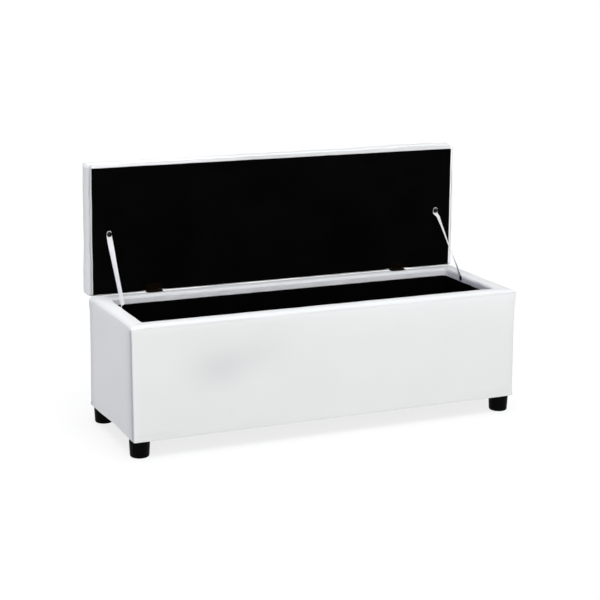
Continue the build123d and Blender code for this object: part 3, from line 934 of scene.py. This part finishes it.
# ---- straps ----
strap_width = 16 * MM
strap_t = 1.2 * MM
strap_flat = 6.5 * MM
wall_tail = 8 * MM
lid_tail = 10 * MM
strap_bend = 7 * MM
strap_wall_y = body_low.y + 240 * MM
strap_wall_z = body_high.z - 9 * MM
strap_lid_x = 538 * MM
strap_lid_z = 553.5 * MM
left_bow = 7.5 * MM
right_low_bow = 2.6 * MM
right_high_bow = 2.8 * MM


def strap_stations(side):
    """The strap's middle point, the direction across it and its width, at even stations."""
    wall = Vector((side * (body_high.x - rim_width - strap_t / 2), strap_wall_y, strap_wall_z))
    lid = Vector((side * strap_lid_x, lid_lining_y - strap_t / 2, strap_lid_z))
    along = Vector((0, lid.y - wall.y, lid.z - wall.z)).normalized()
    up = Vector((0, 0, 1))
    first, last = wall + along * strap_flat, lid - up * strap_flat
    leave, arrive = first + along * strap_bend, last - up * strap_bend
    wall_across = Vector((0, along.z, -along.y))
    lid_across = Vector((side, 0, 0))
    end_rows, free_rows = 10, 84
    stations = []
    for k in range(end_rows):
        distance = (strap_flat + wall_tail) * k / end_rows - wall_tail
        stations.append((wall + along * distance, wall_across, tail_width(-distance, wall_tail)))
    for k in range(free_rows + 1):
        t = k / free_rows
        point = first * (1 - t) ** 3 + leave * 3 * t * (1 - t) ** 2
        point += arrive * 3 * t * t * (1 - t) + last * t**3
        share = (point - first).length / (last - first).length
        turn = strap_turn(side, share) * math.pi / 2
        across = wall_across * math.cos(turn) + lid_across * math.sin(turn)
        stations.append((point + Vector((strap_bow(side, share), 0, 0)), across, strap_width))
    for k in range(1, end_rows + 1):
        distance = (strap_flat + lid_tail) * k / end_rows - strap_flat
        stations.append((lid + up * distance, lid_across, tail_width(distance, lid_tail)))
    return stations


def strap_turn(side, share):
    """The share of the strap's quarter turn made by a place along it."""
    if side < 0:
        return 0.3 * float(ramp(share, 0, 0.04)) * (1 - share**2) + share**3
    return 0.66 * share**0.55 + 0.34 * share**14


def strap_bow(side, share):
    """How far the free strap hangs to the right of its straight line."""
    if side < 0:
        return left_bow * float(ramp(share, 0, 0.04)) * (1 - share)
    hang = right_low_bow * ramp(share, 0.04, 0.16)
    hang += right_high_bow * ramp(share, 0.4, 0.76)
    return float(hang * (1 - ramp(share, 0.93, 1)))


def tail_width(distance, tail):
    """The strap's width at a distance past its screw, where its end is cut round."""
    reach = np.clip(distance / (tail + 0.4 * MM), 0, 1)
    return strap_width * math.sqrt(1 - reach * reach)


def strap_section():
    """The webbing's cross-section: flat, with soft selvedges. (across, thickness) pairs."""
    half, edge = strap_width / 2, strap_t / 2
    top = [(s * (half - edge), edge) for s in np.linspace(-1, 1, 17)]
    right = [(half - edge + edge * math.sin(a), edge * math.cos(a)) for a in (0.8, 1.57, 2.34)]
    bottom = [(-s, -t) for s, t in top]
    left = [(-s, -t) for s, t in right]
    return top + right + bottom + left


def make_strap(name, node, side, finish):
    """A strap from the end wall to the lid, twisted a quarter turn."""
    stations = strap_stations(side)
    line = [point for point, _, _ in stations]
    section = strap_section()
    columns = len(section)
    vertices, lengths = [], [0.0]
    for i, (point, wide, width) in enumerate(stations):
        ahead = line[min(i + 1, len(line) - 1)] - line[max(i - 1, 0)]
        ahead.normalize()
        wide = (wide - ahead * wide.dot(ahead)).normalized()
        thick = ahead.cross(wide)
        vertices += [point + wide * s * (width / strap_width) + thick * t for s, t in section]
        if i:
            lengths.append(lengths[-1] + (point - line[i - 1]).length)
    faces = grid_faces(len(line), columns, closed=True)
    faces.append(tuple(range(columns)))
    faces.append(tuple(reversed(range(len(vertices) - columns, len(vertices)))))
    piece = make_mesh(name, vertices, faces, finish)
    layer = piece.data.uv_layers.new(name="UVMap")
    for loop in piece.data.loops:
        row, column = divmod(loop.vertex_index, columns)
        layer.data[loop.index].uv = (section[column][0] / strap_width, lengths[row])
    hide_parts(node)
    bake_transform(piece)


# ---- feet and screws ----
def make_lathe(name, profile, centre, finish, segments=72):
    """A turned piece: (radius, height) pairs turned about a vertical axis, ends closed."""
    vertices = []
    for radius, height in profile:
        for k in range(segments):
            angle = 2 * math.pi * k / segments
            x, y = radius * math.cos(angle), radius * math.sin(angle)
            vertices.append((centre[0] + x, centre[1] + y, height))
    faces = grid_faces(len(profile), segments, closed=True)
    faces.append(tuple(reversed(range(segments))))
    faces.append(tuple(range(len(vertices) - segments, len(vertices))))
    return make_mesh(name, vertices, faces, finish)


def make_feet(finish):
    """Four tapered black feet with a rounded bottom edge and a small step at the top."""
    edge, taper = 5 * MM, 2 * MM
    for place in ("front_left", "rear_left", "front_right", "rear_right"):
        low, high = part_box(f"foot_{place}")
        top_r = (high.x - low.x) / 2
        bottom_r = top_r - taper
        profile = [(bottom_r * share, 0.0) for share in (0.05, 0.45, 0.8)]
        for k in range(7):
            angle = k / 6 * math.pi / 2
            radius = bottom_r - edge + edge * math.sin(angle)
            profile.append((radius, edge - edge * math.cos(angle)))
        for share in np.linspace(0.12, 1, 10):
            radius = bottom_r + (top_r - bottom_r) * share
            profile.append((radius, edge + (high.z - 2 * edge) * share))
        profile += [(top_r, high.z - 1.2 * MM), (top_r - 0.4 * MM, high.z - 0.3 * MM)]
        profile += [(top_r - 1.2 * MM, high.z), (top_r * 0.6, high.z), (top_r * 0.2, high.z)]
        centre = ((low.x + high.x) / 2, (low.y + high.y) / 2)
        piece = make_lathe(f"turned_foot_{place}", profile, centre, finish)
        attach(piece, "box")
        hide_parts(f"foot_{place}")


def screw_head(radius, height, recess, countersunk, count):
    """A square grid of points bent into a round head, domed or flat, with a cross recess."""
    steps = np.linspace(-1, 1, count)
    u, v = (a.ravel() for a in np.meshgrid(steps, steps))
    reach = np.maximum(np.abs(u), np.abs(v)) / np.maximum(np.hypot(u, v), 1e-9)
    x, y = u * reach * radius, v * reach * radius
    dome = (1 - (np.hypot(x, y) / radius) ** 2.4) ** 0.55
    z = height * dome if not countersunk else np.zeros(len(x))
    arm = recess * 0.22
    slots = [
        (1 - ramp(np.abs(a), arm * 0.8, arm * 1.3))
        * (1 - ramp(np.abs(b), recess * 0.75, recess * 1.05))
        for a, b in ((x, y), (y, x))
    ]
    return np.column_stack([x, y, z - np.maximum(*slots) * recess * 0.55])


def screw_points(radius, height, recess, shank_r, shank_length, countersunk):
    """A screw about +Z: a head with a cross recess, and a shank below z = 0."""
    count = 33
    points = [tuple(p) for p in screw_head(radius, height, recess, countersunk, count)]
    faces = grid_faces(count, count, closed=False)
    rim = list(range(count - 1)) + [count * (i + 1) - 1 for i in range(count - 1)]
    rim += [count * count - 1 - i for i in range(count - 1)]
    rim += [count * (count - 1 - i) for i in range(count - 1)]
    slim = shank_r / radius
    levels = [(0.98, 0.0), (slim, -0.02 * MM)]
    if countersunk:
        levels = [(slim, -(radius - shank_r))]
    levels += [(slim, -shank_length * 0.85), (slim * 0.1, -shank_length)]
    edge = [points[i] for i in rim]
    for share, level in levels:
        ring = list(range(len(points), len(points) + len(rim)))
        points += [(x * share, y * share, level) for x, y, _ in edge]
        for i in range(len(rim)):
            j = (i + 1) % len(rim)
            faces.append((rim[i], ring[i], ring[j], rim[j]))
        rim = ring
    faces.append(tuple(reversed(rim)))
    return np.array(points), faces


def make_screws(name, node, seats, directions, turns, body, finish, shape):
    """All the screws of one CAD node, each aimed along its direction and turned about it."""
    points, faces = screw_points(**shape)
    vertices, quads = [], []
    for seat, direction, turn in zip(seats, directions, turns):
        aim = Vector(direction).to_track_quat("Z", "Y").to_matrix()
        spin = Matrix.Rotation(turn, 3, "Z")
        turned = points @ np.array(aim @ spin).T + np.array(seat)
        quads += [[i + len(vertices) for i in face] for face in faces]
        vertices += turned.tolist()
    piece = make_mesh(name, vertices, quads, finish)
    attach(piece, body)
    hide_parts(node)


def random_turns(name, count):
    """A different turn for each screw of a piece."""
    random = np.random.default_rng(len(name))
    return [random.uniform(0, math.pi) for _ in range(count)]


def make_all_screws(finishes):
    """Pan heads on the straps' washers and countersunk heads in the hinge leaves."""
    washer_t = 1 * MM
    wall_turn = 0.5
    pan = {
        "radius": 5 * MM, "height": 2.6 * MM, "recess": 2.6 * MM,
        "shank_r": 1.7 * MM, "shank_length": 15 * MM, "countersunk": False,
    }
    flush = {
        "radius": 3 * MM, "height": 0.0, "recess": 1.7 * MM,
        "shank_r": 1.4 * MM, "shank_length": 15.5 * MM, "countersunk": True,
    }
    steel, bronze = finishes["screw_steel"], finishes["bronze_steel"]
    forwards, upwards = (0, -1, 0), (0, 0, 1)
    wall_x = body_high.x - rim_width - strap_t - washer_t
    wall_seats = [(side * wall_x, strap_wall_y, strap_wall_z) for side in (-1, 1)]
    lid_seat_y = lid_lining_y - strap_t - washer_t
    lid_seats = [(side * strap_lid_x, lid_seat_y, strap_lid_z) for side in (-1, 1)]
    leaf_spots = [(-17 * MM, 11.5 * MM), (0.0, 16 * MM), (17 * MM, 11.5 * MM)]
    places = [(side * hinge_x + dx, reach) for side in (-1, 1) for dx, reach in leaf_spots]
    body_leaf_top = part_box("hinge_body_screws")[1].z
    lid_leaf_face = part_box("hinge_lid_screws")[0].y
    body_seats = [(x, pin_y - reach, body_leaf_top) for x, reach in places]
    leaf_seats = [(x, lid_leaf_face, pin_z + reach) for x, reach in places]

    make_screws(
        "strap_wall_pan_screws", "strap_wall_screws", wall_seats, [(1, 0, 0), (-1, 0, 0)],
        [wall_turn, wall_turn], "box", steel, pan,
    )
    for name, node, seats, direction, body, finish, shape in [
        ("strap_lid_pan_screws", "strap_lid_screws", lid_seats, forwards, "lid", steel, pan),
        ("hinge_body_flush_screws", "hinge_body_screws", body_seats, upwards, "box", bronze, flush),
        ("hinge_lid_flush_screws", "hinge_lid_screws", leaf_seats, forwards, "lid", bronze, flush),
    ]:
        turns = random_turns(name, len(seats))
        make_screws(name, node, seats, [direction] * len(seats), turns, body, finish, shape)


# ---- studio ----
def make_floor():
    """A wide pale floor."""
    reach = 90.0
    count = 12
    steps = np.linspace(-reach, reach, count)
    points = [(x, y, 0.0) for y in steps for x in steps]
    floor = make_mesh("studio_floor", points, grid_faces(count, count, closed=False), pale_floor())


def make_sky():
    """An even dim sky that turns white just above the horizon."""
    white_below = 0.09
    world = bpy.data.worlds.new("studio")
    bpy.context.scene.world = world
    world.use_nodes = True
    tree = world.node_tree
    direction = tree.nodes.new("ShaderNodeTexCoord").outputs["Generated"]
    height = add_node(tree, "ShaderNodeSeparateXYZ", {"Vector": direction}).outputs["Z"]
    share = remap(tree, height, 0.0, white_below)
    sky = mix_colours(tree, share, grey(1.0), (0.07, 0.07, 0.075, 1))
    background = tree.nodes["Background"].inputs
    tree.links.new(sky, background["Color"])
    background["Strength"].default_value = 1.0


def make_lights():
    """Three wide suns: high, front left, and a weak blue one for the bench's left end."""
    for name, azimuth, elevation, strength, width, colour in [
        ("high_light", 20.0, 84.0, 3.5, 50.0, (0.97, 0.98, 1.0)),
        ("front_light", -20.0, 25.0, 1.35, 60.0, (0.97, 0.98, 1.0)),
        ("left_light", -90.0, 12.0, 0.21, 60.0, (0.12, 0.06, 1.0)),
    ]:
        light = bpy.data.lights.new(name, "SUN")
        light.color = colour
        light.energy = strength
        light.angle = math.radians(width)
        lamp = bpy.data.objects.new(name, light)
        a, e = math.radians(azimuth), math.radians(elevation)
        source = Vector((math.sin(a) * math.cos(e), -math.cos(a) * math.cos(e), math.sin(e)))
        lamp.rotation_mode = "QUATERNION"
        lamp.rotation_quaternion = source.to_track_quat("Z", "Y")
        bpy.context.scene.collection.objects.link(lamp)
    bpy.context.scene.view_settings.view_transform = "Standard"


def make_camera():
    """The photograph's viewpoint: from the front left, a little above the open lid."""
    place = (-1.8473, -4.0839, 1.4256)
    yaw, pitch, roll = (math.radians(angle) for angle in (22.94, 10.654, 0.299))
    data = bpy.data.cameras.new("camera")
    data.sensor_width = 36.0
    data.lens = 93.264
    data.shift_x = 0.058333
    data.shift_y = -0.130333
    data.clip_end = 400.0
    forward = Vector(
        (math.sin(yaw) * math.cos(pitch), math.cos(yaw) * math.cos(pitch), -math.sin(pitch))
    )
    right = Vector((math.cos(yaw), -math.sin(yaw), 0.0))
    up = right.cross(forward)
    rolled_right = right * math.cos(roll) + up * math.sin(roll)
    rolled_up = up * math.cos(roll) - right * math.sin(roll)
    turned = Matrix((rolled_right, rolled_up, -forward)).transposed().to_4x4()
    camera = bpy.data.objects.new("camera", data)
    camera.matrix_world = Matrix.Translation(place) @ turned
    bpy.context.scene.collection.objects.link(camera)
    bpy.context.scene.camera = camera


def finish_cad_nodes(finishes):
    """Gives every CAD node the procedural material of its slot."""
    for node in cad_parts.values():
        for place in node.material_slots:
            place.material = finishes[place.material.name.split(".")[0]]


finishes = make_finishes()
finish_cad_nodes(finishes)
finishes["screw_steel"] = metal("screw_steel", grey(0.008), grey(0.05), 0.32, 200.0, 900.0)
make_floor()
make_sky()
make_lights()
make_camera()
make_body_upholstery(finishes["white_upholstery"])
make_lid_upholstery(finishes["white_upholstery"])
make_linings(finishes)
make_strap("webbing_left", "strap_left", -1, finishes["white_webbing"])
make_strap("webbing_right", "strap_right", 1, finishes["white_webbing"])
make_feet(finishes["black_plastic"])
make_all_screws(finishes)
